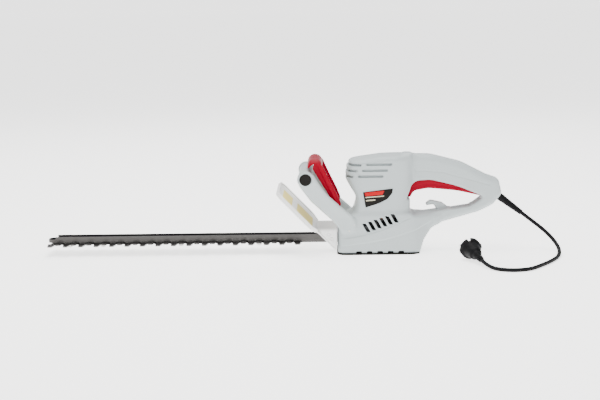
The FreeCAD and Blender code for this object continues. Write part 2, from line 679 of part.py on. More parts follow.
def housing_half(side, body, hollow, seats):
    """One moulded half; the right half carries the screw heads."""
    reach = skirt_half_width + 40
    half = box(-120, 260, -reach if side < 0 else 0, 0 if side < 0 else reach, -20, 220)
    shell = body.cut(hollow).cut(vents())
    shell = shell.cut(Part.makeCompound(
        [slab(TRIGGER_SLOT, -trigger_half_width - trigger_clearance, trigger_half_width + trigger_clearance),
         box(base_front_x - 2, base_front_x + 6, -rail_half_width - 1.4, rail_half_width + 1.4, cover_z - 1.5,
             rail_z + rail_height + 1.2)]))
    bosses = [cross_rod(boss_radius, x, z, -90, 90) for x, z in housing_bosses]
    bosses += [disc(boss_radius, x, y, base_thickness, 24.0) for x, y in rear_base_screws]
    bosses += [box(x, base_rear_x + 4, y - 1.2, y + 1.2, base_thickness, 24.0) for x, y in rear_base_screws]
    bosses += [box(151, 155, -20, 20, 121.5, 160), box(171, 181, -20, 20, 129.0, 150),
               box(spring_x - 6, spring_x + 6, -20, 20, spring_top_z, spring_top_z + 2.5)]
    inside = fused([boss.common(hollow) for boss in bosses] + seats)
    shell = fused([shell, inside]).common(half)
    cutters = [box(140.5, 168.5, -8.1, 8.1, 121.4, 136.6)]
    cutters += [disc(screw_radius, x, y, -1, 18.4) for x, y in rear_base_screws]
    cutters += [cross_rod(pivot_pin_radius, trigger_pivot[0], trigger_pivot[1], -15.6, 15.6)]
    axis = relief_axis()
    base = V(relief_base[0], 0, relief_base[1])
    cutters += [rod(5.2, base - axis * 14, base + axis * 14), rod(3.4, base - axis * 45, base)]
    for x, z in housing_bosses:
        head_y = screw_seat(x, z)
        cutters.append(cross_rod(screw_radius + 0.3, x, z, 0, 90))
        cutters.append(cross_rod(screw_head_radius + 0.3, x, z, head_y, 90))
        cutters.append(cross_rod(screw_radius, x, z, 8.0 - screw_seat(x, z), 0.5))
    for s in (-1, 1):
        cutters += [cross_rod(1.8, x, z, s * (skirt_half_width - wall - 3), s * (skirt_half_width + 1))
                    for x, z in arm_screws]
    cutters += [rod(1.6, V(base_front_x - 5, y, guard_screw_z), V(base_front_x + 10, y, guard_screw_z))
                for y in guard_screw_ys]
    return shell.cut(Part.makeCompound(cutters))


def screw_seat(x, z):
    """Y of the underside of a housing screw's head."""
    if z > 130 and x < 60:
        return head_half_width - 14.0
    if x < 60:
        return skirt_half_width - 14.0
    return grip_half_width - 6.0


def housing_screw(x, z):
    seat = screw_seat(x, z)
    shank = cross_rod(screw_radius, x, z, 8.5 - seat, seat)
    return fused([shank, cross_rod(screw_head_radius, x, z, seat, seat + 2.2)])


def make_housing():
    body = outer_body()
    hollow = cavity()
    seats = ribs(hollow)
    export("left_housing", housing_half(-1, body, hollow, seats))
    export("right_housing", housing_half(1, body, hollow, seats))
    export("housing_screws", [housing_screw(x, z) for x, z in housing_bosses])
    y = head_half_width + 0.1
    export("side_badges", [slab(BADGE_SIDE, -y - 0.6, -y), slab(BADGE_SIDE, y, y + 0.6)])


# ------------------------------------------------------------------ rear trigger and switch
def trigger():
    shape = slab(TRIGGER_SIDE, -trigger_half_width, trigger_half_width)
    hollow = slab(TRIGGER_SIDE, 3 - trigger_half_width, trigger_half_width - 3, 3.0)
    hollow = hollow.common(box(62, 128, -40, 40, 90, 125))
    eye = cross_rod(pivot_pin_radius + running_clearance, trigger_pivot[0], trigger_pivot[1], -60, 60)
    return shape.cut(Part.makeCompound([hollow, eye]))


spring_x = 84.0
spring_bottom_z = 129.6
spring_top_z = 149.0
spring_radius = 4.0
bar_spring_radius = 2.6
spring_wire = 0.5


def coil_spring(x, y, z0, z1, turns, radius):
    """Compression spring along Z."""
    low = z0 + spring_wire + 0.1
    height = z1 - z0 - 2 * (spring_wire + 0.1)
    helix = Part.makeHelix(height / turns, height, radius)
    circle = Part.Wire(Part.makeCircle(spring_wire, V(radius, 0, 0), V(0, 1, 0)))
    coil = Part.Wire(helix).makePipeShell([circle], True, True)
    coil.translate(V(x, y, low))
    return Part.Solid(coil)


def make_trigger():
    export("trigger", trigger())
    export("trigger_pin", cross_rod(pivot_pin_radius, trigger_pivot[0], trigger_pivot[1], -15.4, 15.4))
    export("trigger_spring", coil_spring(spring_x, 0, spring_bottom_z, spring_top_z, 6, spring_radius))
    plunger = rod(1.5, V(160, 0, 115.9), V(160, 0, 122))
    export("trigger_switch", fused([box(140.6, 168.4, -8, 8, 121.5, 136.5), plunger]))
    export("terminal_block", box(171, 181, -7, 7, 118.5, 128.9))


# ------------------------------------------------------------------ front handle
arm_screws = [(-46.0, 43.0), (-38.0, 54.0)]
peg_place = (-77.0, 97.0)


def limb(sections, side):
    """Straight-sided limb through (x, z, y centre, width, thickness, slope in degrees) sections."""
    wires = []
    for x, z, y, width, thickness, slope in sections:
        corners = []
        for a, b in ((-1, -1), (1, -1), (1, 1), (-1, 1)):
            across = a * width / 2
            tilt = math.radians(slope)
            corners.append(V(x + across * math.cos(tilt), side * (y + b * thickness / 2),
                             z + across * math.sin(tilt)))
        wires.append(Part.makePolygon(corners + corners[:1]))
    return Part.makeLoft(wires, True, True)


def handle_arm(side):
    bottom_y = skirt_half_width + 0.2
    sections = [(-40.0, 44.0, bottom_y + 2.5, 34.0, 5.0, 52.0), (-62.0, 66.0, bottom_y + 4.0, 32.0, 8.0, 45.0),
                (-81.0, 86.0, arm_inner_y + 7.5, 29.0, 13.0, 41.0), (-100.0, 109.0, 59.0, 28.0, 13.0, 38.0),
                (-115.0, 131.0, 66.5, 27.0, 13.0, 28.0)]
    inner = handle_half_span - 16.0
    outer = handle_half_span
    arm = fused([limb(sections, side),
                 cross_rod(arm_boss_radius, bar_grip_x, bar_grip_z, side * inner, side * outer),
                 cross_rod(7.0, lever_pivot[0], lever_pivot[1], side * arm_inner_y, side * (arm_inner_y + 10))])
    cutters = [cross_rod(bar_grip_radius, bar_grip_x, bar_grip_z, side * (inner - 8), side * (outer - cap_depth - 3)),
               cross_rod(end_cap_radius, bar_grip_x, bar_grip_z, side * (outer - cap_depth), side * (outer + 5)),
               cross_rod(pivot_pin_radius, lever_pivot[0], lever_pivot[1], side * 30, side * (arm_inner_y + 7)),
               slab([(-99, 90.4, 0), (-70, 90.4, 0), (-70, 101.6, 0), (-99, 101.6, 0)],
                    side * 30, side * (arm_inner_y + 6.8))]
    cutters += [cross_rod(1.5, x, z, side * (bottom_y - 3), side * (bottom_y + 3.4)) for x, z in arm_screws]
    return arm.cut(Part.makeCompound(cutters))


def switch_bar():
    """Red bail: two legs on pivots, joined by an arched bar over the front grip."""
    pieces = []
    top_y = handle_half_span - 23.0
    leg_y = leg_inner_y + leg_thickness / 2
    px, pz = lever_pivot
    tx, tz = lever_top
    for side in (-1, 1):
        sections = [(px, pz, leg_y, 12.0, leg_thickness, 25.0), (px - 7.0, pz + 18.0, leg_y, 17.0, leg_thickness, 25.0),
                    (tx + 12.5, tz - 19.0, top_y - 5.0, 15.0, leg_thickness, 25.0),
                    (tx + 3.5, tz + 3.0, top_y - 1.5, 15.0, leg_thickness, 25.0)]
        pieces.append(limb(sections, side))
        pieces.append(cross_rod(7.0, px, pz, side * leg_inner_y, side * (leg_inner_y + leg_thickness)))
        pieces.append(cross_rod(2.0, peg_place[0], peg_place[1], side * leg_inner_y, side * (arm_inner_y + 4.0)))
    arch = cross_rod(lever_bar_radius, tx, tz, -top_y, top_y)
    arch = arch.cut(cross_rod(lever_bar_radius - lever_wall, tx, tz, -top_y - 1, top_y + 1))
    below = slab([(tx - 30, tz - 30, 0), (tx + 30, tz - 30, 0), (tx + 30, tz - 1.0, 0), (tx - 30, tz - 1.0, 0)], -90, 90)
    pieces.append(arch.cut(below))
    bar = fused(pieces)
    return bar.cut(cross_rod(pivot_pin_radius + running_clearance, px, pz, -90, 90))


def make_front_handle():
    export("left_handle_arm", handle_arm(-1))
    export("right_handle_arm", handle_arm(1))
    tube_end = handle_half_span - cap_depth - 3.2
    tube = cross_rod(bar_grip_radius, bar_grip_x, bar_grip_z, -tube_end, tube_end)
    tube = tube.cut(cross_rod(bar_grip_radius - bar_grip_wall, bar_grip_x, bar_grip_z, -90, 90))
    export("front_grip_tube", tube)
    export("grip_end_caps", both_sides(
        lambda side: cross_rod(end_cap_radius - 0.1, bar_grip_x, bar_grip_z,
                               side * (handle_half_span - cap_depth), side * (handle_half_span - 0.8))))
    export("switch_bar", switch_bar())
    export("switch_bar_pins", both_sides(
        lambda side: cross_rod(pivot_pin_radius, lever_pivot[0], lever_pivot[1], side * (leg_inner_y - 1),
                               side * (arm_inner_y + 6.5))))
    y = -arm_inner_y
    body = box(-98.6, -85.0, y - 6.4, y - 0.6, 91.0, 101.0)
    export("front_switch", fused([body, rod(1.2, V(-86, y - 3, 96), V(-80.9, y - 3, 96))]))
    helix = coil_spring(0, 0, 0, 17.9, 6, bar_spring_radius)
    helix.rotate(V(0, 0, 0), V(0, 1, 0), 90)
    helix.translate(V(-98.6, arm_inner_y + 3.4, 96.0))
    export("switch_bar_spring", helix)
    seat_y = skirt_half_width - wall
    export("arm_screws", [fused([cross_rod(1.5, x, z, side * (seat_y - 0.2), side * (skirt_half_width + 3.4)),
                                 cross_rod(3.0, x, z, side * (seat_y - 2.2), side * seat_y)])
                          for x, z in arm_screws for side in (-1, 1)])


# ------------------------------------------------------------------ hand guard
def on_guard(shape):
    """Turns a shape drawn flat, up the slope along +X, onto the guard's sloping plane."""
    shape.rotate(V(0, 0, 0), V(0, 1, 0), math.degrees(guard_angle) - 180.0)
    shape.translate(V(guard_foot[0], 0, guard_foot[1]))
    return shape


def make_guard():
    low_half = skirt_half_width - 3.0
    sheet = plate(mirrored([(0, -low_half, 4.0), (44.0, -low_half, 12.0), (60.0, -guard_half_width, 14.0),
                            (guard_length, -guard_half_width, 18.0)]), 0, guard_thickness)
    sheet = on_guard(sheet)
    slope = math.tan(guard_angle)
    top_z = 47.0
    front_x = base_front_x - 0.3
    reach = front_x - (top_z - guard_foot[1]) / slope - 1.0
    cheek = [(front_x, 10.0, 0.0), (front_x, top_z, 0.0), (reach, top_z, 0.0), (front_x - 2.5, 10.0, 0.0)]
    cheeks = [slab(cheek, side * (low_half - 3.0), side * low_half) for side in (-1, 1)]
    flange = box(front_x - 3, front_x, -low_half, low_half, 10.0, top_z)
    roof = box(reach + 2, front_x, -low_half, low_half, top_z - 2.5, top_z)
    guard = fused([sheet, flange, roof] + cheeks)
    cutters = [box(-130, front_x + 1, -rail_half_width - 1.4, rail_half_width + 1.4, 0, rail_z + rail_height + 1.2)]
    for y in guard_screw_ys:
        cutters.append(rod(1.8, V(front_x - 10, y, guard_screw_z), V(front_x + 2, y, guard_screw_z)))
        cutters.append(rod(4.5, V(front_x - 60, y, guard_screw_z), V(front_x - 5, y, guard_screw_z)))
    export("hand_guard", guard.cut(Part.makeCompound(cutters)))
    export("guard_screws", [fused([rod(1.6, V(front_x - 3, y, guard_screw_z), V(front_x + 9, y, guard_screw_z)),
                                   rod(3.3, V(front_x - 5.2, y, guard_screw_z), V(front_x - 3, y, guard_screw_z))])
                            for y in guard_screw_ys])
    labels = [plate([(a, -62.0, 2.0), (b, -62.0, 2.0), (b, 28.0, 2.0), (a, 28.0, 2.0)],
                    -0.5, -0.1) for a, b in ((58.0, 96.0), (108.0, 130.0))]
    export("guard_labels", [on_guard(label) for label in labels])


guard_screw_z = 39.0
guard_screw_ys = [-26.0, 26.0]


# ------------------------------------------------------------------ cord and plug
def relief_axis():
    return V(math.cos(relief_angle), 0, math.sin(relief_angle))


relief_tip = V(relief_base[0], 0, relief_base[1]) + relief_axis() * relief_length
CORD_ROUTE = [
    relief_tip,
    relief_tip + relief_axis() * 25.0,
    V(300.0, -14.0, 29.0),
    V(314.0, -40.0, 11.0),
    V(309.0, -79.0, cord_radius + 0.05),
    V(290.0, -121.0, cord_radius + 0.05),
    V(264.0, -160.0, cord_radius + 0.05),
    V(240.0, -190.5, cord_radius + 0.05),
    V(205.5, -196.5, cord_radius + 0.05),
    V(176.5, -176.6, 4.0),
    V(168.6, -142.5, 10.0),
]


def cord_tube(points, radius):
    """A cord as straight runs joined by the largest tangent arcs that its runs allow."""
    edges = []
    last = points[0]
    for i in range(1, len(points) - 1):
        before = points[i - 1] - points[i]
        after = points[i + 1] - points[i]
        half_turn = (math.pi - before.getAngle(after)) / 2
        reach = 0.45 * min(before.Length, after.Length)
        bend = reach / math.tan(half_turn)
        print("cord bend", i, "radius", round(bend, 1), "turn", round(math.degrees(2 * half_turn), 1))
        before.normalize()
        after.normalize()
        start = points[i] + before * reach
        end = points[i] + after * reach
        middle = points[i] + (before + after).normalize() * (bend / math.cos(half_turn) - bend)
        edges.append(Part.LineSegment(last, start).toShape())
        edges.append(Part.Arc(start, middle, end).toShape())
        last = end
    edges.append(Part.LineSegment(last, points[-1]).toShape())
    path = Part.Wire(edges)
    section = Part.Wire(Part.makeCircle(radius, points[0], points[1] - points[0]))
    tube = Part.Solid(path.makePipeShell([section], True, False))
    print("cord volume", round(tube.Volume), "section x length", round(math.pi * radius ** 2 * path.Length),
          "length", round(path.Length, 1))
    return tube


def turned(points, start, axis):
    """Solid of revolution with (distance along axis, radius) points, on a line from start."""
    corners = [V(r, 0, s) for s, r in points]
    face = Part.Face(Part.makePolygon([V(0, 0, points[0][0])] + corners + [V(0, 0, points[-1][0]),
                                                                         V(0, 0, points[0][0])]))
    shape = face.revolve(V(0, 0, 0), V(0, 0, 1), 360)
    shape = shape if shape.ShapeType == "Solid" else Part.Solid(shape)
    return aimed(shape, start, axis)


def aimed(shape, start, axis):
    shape.Placement = FreeCAD.Placement(start, FreeCAD.Rotation(V(0, 0, 1), axis))
    return shape


def make_cord():
    axis = relief_axis()
    base = V(relief_base[0], 0, relief_base[1])
    relief = turned([(-relief_inner_length, 5.0), (1.0, 5.0), (1.0, 6.3), (9.0, 6.3), (relief_length, 4.4)], base, axis)
    export("cord_relief", relief)
    export("mains_lead", rod(cord_radius, base - axis * 40, base - axis * relief_inner_length))
    clamp = box(-5, 5, wall - grip_half_width + 0.2, grip_half_width - wall - 0.2, -4, 4)
    clamp = clamp.cut(rod(cord_radius, V(0, 0, -9), V(0, 0, 9)))
    export("cord_clamp", aimed(clamp, base - axis * (relief_inner_length + 4.3), axis))
    export("power_cord", cord_tube(CORD_ROUTE, cord_radius))
    start = CORD_ROUTE[-1]
    out = (CORD_ROUTE[-1] - CORD_ROUTE[-2]).normalize()
    body = turned([(0, 4.6), (18.0, 6.4), (24.0, 7.6), (27.0, 10.5), (40.0, 12.5), (46.0, 14.0),
                   (51.0, plug_disc_radius), (plug_length, plug_disc_radius)], start, out)
    notches = [aimed(box(-2.6, 2.6, s * 16 - 2.6, s * 16 + 2.6, 44.0, plug_length + 1), start, out) for s in (-1, 1)]
    export("plug_body", body.cut(Part.makeCompound(notches)))
    pins = []
    for s in (-1, 1):
        pin = fused([rod(pin_radius, V(s * pin_spacing / 2, 0, plug_length), V(s * pin_spacing / 2, 0, plug_length + pin_length))])
        pins.append(aimed(pin, start, out))
    export("plug_pins", pins)


def main():
    os.makedirs("parts", exist_ok=True)
    make_cutter_bar()
    make_gear_train()
    make_gear_case()
    make_motor()
    make_housing()
    make_trigger()
    make_front_handle()
    make_guard()
    make_cord()


main()
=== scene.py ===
"""Corded electric hedge trimmer: the looks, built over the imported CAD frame.

Shapes are worked out in millimetres in the CAD frame and turned to metres when a mesh is made.
The moulded pieces come from rounded distance fields, so that their edges flow as mouldings do.
"""

import bpy
import json
import math
import numpy as np
from mathutils import Matrix, Vector


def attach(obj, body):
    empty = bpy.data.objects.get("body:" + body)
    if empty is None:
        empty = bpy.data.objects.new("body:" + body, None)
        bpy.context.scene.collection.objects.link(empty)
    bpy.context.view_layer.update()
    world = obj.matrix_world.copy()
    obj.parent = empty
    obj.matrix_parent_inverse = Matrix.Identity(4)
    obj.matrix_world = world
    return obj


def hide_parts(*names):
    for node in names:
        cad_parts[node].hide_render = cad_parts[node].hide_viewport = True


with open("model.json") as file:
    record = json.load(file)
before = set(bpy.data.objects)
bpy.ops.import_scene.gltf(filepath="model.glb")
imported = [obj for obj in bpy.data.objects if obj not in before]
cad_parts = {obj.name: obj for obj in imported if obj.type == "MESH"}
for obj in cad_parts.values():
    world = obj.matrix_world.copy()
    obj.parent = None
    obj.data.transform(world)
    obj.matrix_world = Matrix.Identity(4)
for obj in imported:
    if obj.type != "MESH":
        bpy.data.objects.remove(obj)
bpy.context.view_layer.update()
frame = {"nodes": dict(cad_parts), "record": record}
MM = 0.001
BODY = "machine"
GRIP = (-120, 136)              # (x, z) of the front grip tube
LEVER_PIVOT = (-68, 84)         # (x, z) of the red switch bar's pins
HOOD = (-104, 154.5)            # (x, z) of the centre of the switch bar's arch
GUARD_FOOT = (-69.3, 0, 11.4)
GUARD_SLOPE = 46                # degrees


# ------------------------------------------------------------------ materials
def material(name, color, rough, metal=0.0, grain=0.0, grain_scale=900.0, mottle=0.03, streak=None,
             coat=0.0, shine=0.3):
    """Principled material with mottled colour, varied roughness and a fine bump."""
    mat = bpy.data.materials.new(name)
    mat.use_nodes = True
    nodes, links = mat.node_tree.nodes, mat.node_tree.links
    shader = nodes["Principled BSDF"]
    shader.inputs["Metallic"].default_value = metal
    shader.inputs["Specular IOR Level"].default_value = 0.5 if metal else shine
    shader.inputs["Coat Weight"].default_value = coat
    shader.inputs["Coat Roughness"].default_value = 0.25
    place = nodes.new("ShaderNodeTexCoord")
    stretch = nodes.new("ShaderNodeMapping")
    stretch.inputs["Scale"].default_value = streak or (1.0, 1.0, 1.0)
    links.new(place.outputs["Object"], stretch.inputs["Vector"])
    broad = nodes.new("ShaderNodeTexNoise")
    broad.inputs["Scale"].default_value = 28.0
    broad.inputs["Detail"].default_value = 4.0
    links.new(stretch.outputs["Vector"], broad.inputs["Vector"])
    mix = nodes.new("ShaderNodeMix")
    mix.data_type = "RGBA"
    mix.inputs[6].default_value = (*[c * (1 - mottle) for c in color], 1)
    mix.inputs[7].default_value = (*[min(c * (1 + mottle), 1.0) for c in color], 1)
    links.new(broad.outputs["Fac"], mix.inputs[0])
    links.new(mix.outputs[2], shader.inputs["Base Color"])
    spread = nodes.new("ShaderNodeMapRange")
    spread.inputs["To Min"].default_value = max(rough - 0.06, 0.02)
    spread.inputs["To Max"].default_value = min(rough + 0.06, 1.0)
    links.new(broad.outputs["Fac"], spread.inputs["Value"])
    links.new(spread.outputs["Result"], shader.inputs["Roughness"])
    if grain:
        fine = nodes.new("ShaderNodeTexNoise")
        fine.inputs["Scale"].default_value = grain_scale
        fine.inputs["Detail"].default_value = 2.0
        links.new(stretch.outputs["Vector"], fine.inputs["Vector"])
        bump = nodes.new("ShaderNodeBump")
        bump.inputs["Strength"].default_value = grain
        bump.inputs["Distance"].default_value = 0.0004
        links.new(fine.outputs["Fac"], bump.inputs["Height"])
        links.new(bump.outputs["Normal"], shader.inputs["Normal"])
    return mat


SLOT_LOOKS = {
    "body": material("body", (0.41, 0.455, 0.46), 0.40, grain=0.10, grain_scale=1500, mottle=0.012),
    "guard_white": material("guard_white", (0.80, 0.795, 0.785), 0.36, grain=0.06, grain_scale=1500,
                            mottle=0.012),
    "trigger_red": material("trigger_red", (0.24, 0.0, 0.012), 0.42, shine=0.05, grain=0.05, mottle=0.04),
    "lever_red": material("lever_red", (0.25, 0.0, 0.012), 0.34, mottle=0.03, shine=0.04),
    "dark_plastic": material("dark_plastic", (0.007, 0.006, 0.005), 0.5, shine=0.10, grain=0.12),
    "cord_black": material("cord_black", (0.005, 0.005, 0.0055), 0.55, shine=0.08, grain=0.10,
                           grain_scale=1200),
    "label": material("label", (0.82, 0.68, 0.20), 0.5, grain=0.05, mottle=0.05),
    "blade_steel": material("blade_steel", (0.085, 0.082, 0.08), 0.34, metal=1.0, grain=0.16, mottle=0.14,
                            streak=(0.5, 5.0, 5.0)),
    "rail_metal": material("rail_metal", (0.075, 0.072, 0.07), 0.40, metal=1.0, grain=0.12, mottle=0.10,
                           streak=(0.3, 6.0, 6.0)),
    "zinc_steel": material("zinc_steel", (0.60, 0.59, 0.57), 0.30, metal=1.0, grain=0.06, mottle=0.06),
    "machine_steel": material("machine_steel", (0.55, 0.55, 0.55), 0.30, metal=1.0, grain=0.08, mottle=0.06),
    # The gear case is coloured far darker than plain die-cast aluminium as painted shade, so that the slanted
    # slits that show it look dark.
    "case_aluminium": material("case_aluminium", (0.16, 0.16, 0.16), 0.6, metal=1.0, grain=0.25, mottle=0.06),
    "lamination": material("lamination", (0.18, 0.17, 0.16), 0.5, metal=0.7, grain=0.3, streak=(1, 1, 40)),
    "copper": material("copper", (0.62, 0.24, 0.09), 0.35, metal=0.9, grain=0.3, streak=(1, 1, 12)),
    "carbon": material("carbon", (0.04, 0.04, 0.04), 0.7, grain=0.2),
    "bronze": material("bronze", (0.58, 0.36, 0.15), 0.4, metal=1.0, grain=0.12),
    "rubber": material("rubber", (0.03, 0.03, 0.03), 0.6, grain=0.2),
    "fan_plastic": material("fan_plastic", (0.05, 0.05, 0.05), 0.4, grain=0.1),
    "pin_nickel": material("pin_nickel", (0.80, 0.77, 0.70), 0.22, metal=1.0, mottle=0.04),
}
BADGE_RED = material("badge_red", (0.42, 0.004, 0.008), 0.35, shine=0.08, mottle=0.03)
BADGE_CREAM = material("badge_cream", (0.52, 0.48, 0.34), 0.4, mottle=0.03)

for part in frame["record"]["subparts"]:
    node = frame["nodes"][part["node"]]
    for look in node.material_slots:
        look.material = SLOT_LOOKS[part["material_slot"]]


# ------------------------------------------------------------------ distance fields
def smin(a, b, k):
    """Union of two fields, blended over about k millimetres."""
    h = np.clip(0.5 + 0.5 * (b - a) / k, 0, 1)
    return b + (a - b) * h - k * h * (1 - h)


def smax(a, b, k):
    """Intersection of two fields, blended over about k millimetres."""
    return -smin(-a, -b, k)


def both(a, b, r):
    """Intersection of two fields with its edge rounded to radius r."""
    u = np.maximum(a + r, 0)
    v = np.maximum(b + r, 0)
    return np.minimum(np.maximum(a, b) + r, 0) + np.hypot(u, v) - r


def rounded_corners(corners):
    """Points of a closed outline whose (a, b, radius) corners are tangent arcs."""
    points = []
    for i, (a, b, r) in enumerate(corners):
        here = np.array([a, b])
        before = np.array(corners[i - 1][:2]) - here
        after = np.array(corners[(i + 1) % len(corners)][:2]) - here
        lb, la = np.hypot(*before), np.hypot(*after)
        before, after = before / lb, after / la
        half = math.acos(np.clip(before @ after, -1, 1)) / 2
        turn = math.pi / 2 - half
        if r <= 0 or turn < 1e-3:
            points.append(here)
            continue
        reach = min(r * math.tan(turn), 0.49 * lb, 0.49 * la)
        r = reach / math.tan(turn)
        inward = (before + after) / np.hypot(*(before + after))
        centre = here + inward * r / math.cos(turn)
        start = here + before * reach - centre
        spin = turn * 2 * (1 if start[0] * (here + after * reach - centre)[1]
                           - start[1] * (here + after * reach - centre)[0] > 0 else -1)
        steps = max(8, int(r * abs(spin) / 1.5))
        for k in range(steps + 1):
            c, s = math.cos(spin * k / steps), math.sin(spin * k / steps)
            points.append(centre + np.array([c * start[0] - s * start[1], s * start[0] + c * start[1]]))
    return np.array(points)


def inside_of(corners, a, b):
    """Signed distance to a closed outline, negative inside, over the grid a x b."""
    points = rounded_corners(corners)
    u, v = a[:, None], b[None, :]
    best = np.full((len(a), len(b)), 1e9)
    inside = np.zeros((len(a), len(b)), bool)
    for p, q in zip(points, np.roll(points, -1, axis=0)):
        d = q - p
        length = d @ d
        if length < 1e-12:
            continue
        t = np.clip(((u - p[0]) * d[0] + (v - p[1]) * d[1]) / length, 0, 1)
        best = np.minimum(best, (u - p[0] - t * d[0]) ** 2 + (v - p[1] - t * d[1]) ** 2)
        if d[1] != 0:
            crosses = (p[1] > v) != (q[1] > v)
            inside ^= crosses & (u < p[0] + (v - p[1]) * d[0] / d[1])
    return np.where(inside, -1, 1) * np.sqrt(best)


def line_distance(points, a, b):
    """Distance from an open line of points, over the grid a x b."""
    u, v = a[:, None], b[None, :]
    best = np.full((len(a), len(b)), 1e9)
    points = np.array(points, float)
    for p, q in zip(points[:-1], points[1:]):
        d = q - p
        t = np.clip(((u - p[0]) * d[0] + (v - p[1]) * d[1]) / (d @ d), 0, 1)
        best = np.minimum(best, np.hypot(u - p[0] - t * d[0], v - p[1] - t * d[1]))
    return best


def centre_distance(centre, x, z):
    """Distance from the line along Y through the (x, z) centre, over the side view."""
    return np.hypot(x[:, None] - centre[0], z[None, :] - centre[1])


def surface_of(field, axes, step):
    """Quads of the field's zero surface: one point in each cell that it crosses."""
    inside = field < 0
    count = np.zeros(np.array(field.shape) - 1, np.int8)
    corners = [(i, j, k) for i in (0, 1) for j in (0, 1) for k in (0, 1)]
    nx, ny, nz = count.shape
    for i, j, k in corners:
        count += inside[i:i + nx, j:j + ny, k:k + nz]
    active = (count > 0) & (count < 8)
    cells = np.argwhere(active)
    number = np.full(count.shape, -1)
    number[active] = np.arange(len(cells))
    total = np.zeros((len(cells), 3))
    hits = np.zeros(len(cells))
    for axis in range(3):
        unit = np.eye(3, dtype=int)[axis]
        for corner in corners:
            if corner[axis]:
                continue
            low = cells + corner
            high = low + unit
            fa = field[low[:, 0], low[:, 1], low[:, 2]]
            fb = field[high[:, 0], high[:, 1], high[:, 2]]
            hit = (fa < 0) != (fb < 0)
            t = np.where(hit, fa / np.where(hit, fa - fb, 1), 0)
            total += hit[:, None] * (np.array(corner) + t[:, None] * unit)
            hits += hit
    points = (cells + total / hits[:, None]) * step + np.array([axis[0] for axis in axes])
    quads = []
    for axis in range(3):
        b, c = (axis + 1) % 3, (axis + 2) % 3
        here = [slice(1, -1)] * 3
        here[axis] = slice(0, -1)
        there = list(here)
        there[axis] = slice(1, None)
        change = inside[tuple(here)] != inside[tuple(there)]
        spots = np.argwhere(change) + [0 if k == axis else 1 for k in range(3)]
        rising = inside[spots[:, 0], spots[:, 1], spots[:, 2]]
        ring = []
        for db, dc in ((-1, -1), (0, -1), (0, 0), (-1, 0)):
            cell = spots.copy()
            cell[:, b] += db
            cell[:, c] += dc
            ring.append(number[cell[:, 0], cell[:, 1], cell[:, 2]])
        quad = np.stack(ring, axis=1)
        quads.append(np.where(rising[:, None], quad, quad[:, ::-1]))
    return points, np.concatenate(quads)


def added(name, data, body=BODY):
    """A new object of the scene that rides on a body."""
    piece = bpy.data.objects.new(name, data)
    bpy.context.scene.collection.objects.link(piece)
    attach(piece, body)
    return piece


def mesh_piece(name, points, quads, slot, body=BODY):
    """A smooth mesh object in metres from millimetre points."""
    mesh = bpy.data.meshes.new(name)
    mesh.vertices.add(len(points))
    mesh.vertices.foreach_set("co", (np.asarray(points) * MM).ravel())
    quads = np.asarray(quads)
    mesh.loops.add(quads.size)
    mesh.loops.foreach_set("vertex_index", quads.ravel())
    mesh.polygons.add(len(quads))
    mesh.polygons.foreach_set("loop_start", np.arange(len(quads)) * quads.shape[1])
    mesh.polygons.foreach_set("use_smooth", np.full(len(quads), True))
    mesh.update(calc_edges=True)
    mesh.validate()
    mesh.materials.append(SLOT_LOOKS[slot])
    return added(name, mesh, body)


def grid(low, high, step):
    """The X, Y and Z sample places of a box."""
    return [np.arange(low[k], high[k] + step, step) for k in range(3)]


COARSER = 1.0


def moulded(name, field_of, low, high, step, slot, body=BODY, turn=None):
    """The piece whose surface is the zero of field_of(x, y, z), turned by the matrix turn."""
    step = step * COARSER
    axes = grid(low, high, step)
    points, quads = surface_of(field_of(*axes), axes, step)
    if turn is not None:
        points = points @ np.array(turn.to_3x3()).T + np.array(turn.translation)
    return mesh_piece(name, points, quads, slot, body)


# ------------------------------------------------------------------ housing
HEAD = [(-40, 40, 0), (62, 40, 0), (62, 170, 4), (10, 168.5, 60), (-47.5, 161, 14), (-53.5, 132, 12),
        (-30.5, 97, 28), (-40, 68, 4)]
HEAD_PLAN = [(-56, -40, 36), (42, -40, 40), (80, -18, 20), (90, -18, 0), (90, 60, 0), (-56, 60, 0)]
SKIRT = [(-68, 1.4, 2), (77, 1.4, 2), (83.5, 22, 24), (102, 47.5, 16), (112, 50, 0), (112, 62, 4),
         (62, 72, 6), (-40, 71, 10), (-68, 47, 8)]
SKIRT_PLAN = [(-68, -44, 16), (68, -44, 26), (98, -19, 12), (112, -19, 0), (112, 60, 0), (-68, 60, 0)]
LOOP = [(52, 46, 0), (101.5, 46.9, 30), (180, 68.5, 60), (204, 80.5, 20), (220, 99, 12), (214, 125, 9),
        (192, 133, 30), (149, 155.5, 80), (95, 169.5, 60), (52, 170, 0)]
OPENING = [(60, 64.5, 10), (168, 80.5, 25), (188, 95, 4), (142, 114.5, 150), (96, 126, 50), (66, 124, 18),
           (53.5, 95, 1), (60, 94, 2)]
HOOK = [(112, 68, 1), (134, 71, 2), (116, 84.5, 6), (96, 89, 7), (87.5, 83, 2.5), (90, 79, 1.5),
        (102, 81, 4), (106, 74, 4)]
ARM = [(-134.2, 140, 12), (-131, 125, 20), (-112, 97.5, 60), (-74, 60, 0), (-60, 41, 8), (-34, 41, 8),
       (-36, 66, 20), (-62, 88, 24), (-82, 107, 60), (-94, 123, 60), (-106, 143, 12), (-119, 150, 12)]
UPPER_BAND = np.polyfit([-63, -10, 37, 64], [28.8, 38.1, 53.5, 67.3], 2)
LOWER_BAND = np.polyfit([-59, 2.4, 43, 76, 97], [17.6, 25.2, 34.9, 47.1, 56.2], 3)
WALL = 5.5
LOOP_HALF_WIDTH = 19.0
TRIGGER_HALF_WIDTH = 13.0
CUT_TO = 25                     # vents are cut inwards to this distance from the middle plane
VENT_ROWS, VENT_TOP, VENT_PITCH, VENT_DEPTH = 3, 154.5, 10.2, 4.7
SLITS, SLIT_START, SLIT_STEP, SLIT_LEAN = 6, (-16.6, 47.3), (9.7, 3.24), 0.55
